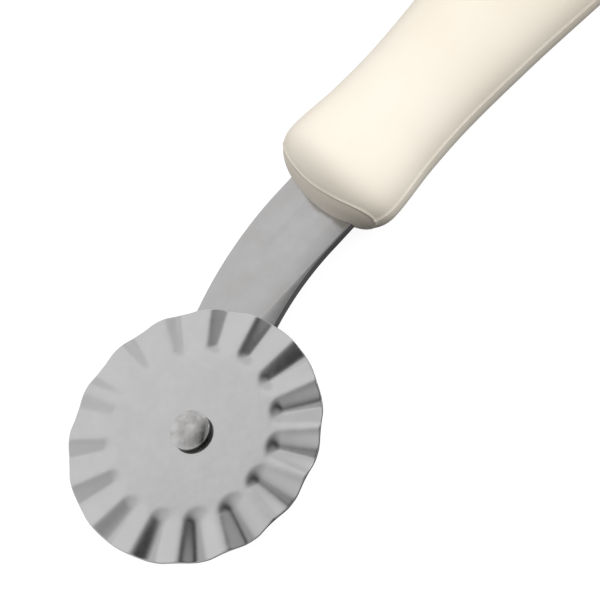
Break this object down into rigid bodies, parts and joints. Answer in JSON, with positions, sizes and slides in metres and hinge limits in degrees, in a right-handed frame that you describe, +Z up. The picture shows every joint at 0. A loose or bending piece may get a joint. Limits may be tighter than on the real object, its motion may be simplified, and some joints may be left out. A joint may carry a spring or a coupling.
{
  "type": "pastry cutter wheel",
  "caption": "Hand-held pastry cutter: a flat steel wheel with radial flutes spins on a rivet at the end of a curved flat shank set in a moulded plastic handle.",
  "frame": {"origin": "on the surface the tool lies on, under the middle of its bounding box", "axes": "+X runs from the wheel to the end of the handle, +Z is up and along the wheel's axis, with the wheel over the shank"},
  "size_m": [0.175, 0.0463, 0.0165],
  "materials": {
    "wheel_steel": "satin stainless sheet, brighter and smoother in the pressed flutes",
    "shank_steel": "fine satin stainless strip with sheared edges",
    "rivet_steel": "bright tumbled rivet, lightly mottled",
    "handle_plastic": "glossy moulded cream plastic"
  },
  "bodies": {
    "handle": {"handle_upper_shell": "handle_plastic", "handle_lower_shell": "handle_plastic", "nose_collar": "handle_plastic", "shank_arm": "shank_steel", "tang_pin_front": "shank_steel", "tang_pin_rear": "shank_steel", "spacer_washer": "shank_steel", "axle_rivet": "rivet_steel"},
    "wheel": {"fluted_wheel": "wheel_steel"}
  },
  "joints": [
    {"name": "wheel_spin", "type": "hinge", "parent": "handle", "child": "wheel", "pos_m": [-0.0675, -0.00315, 0.00875], "axis": [0, 0, 1], "continuous": true}
  ]
}
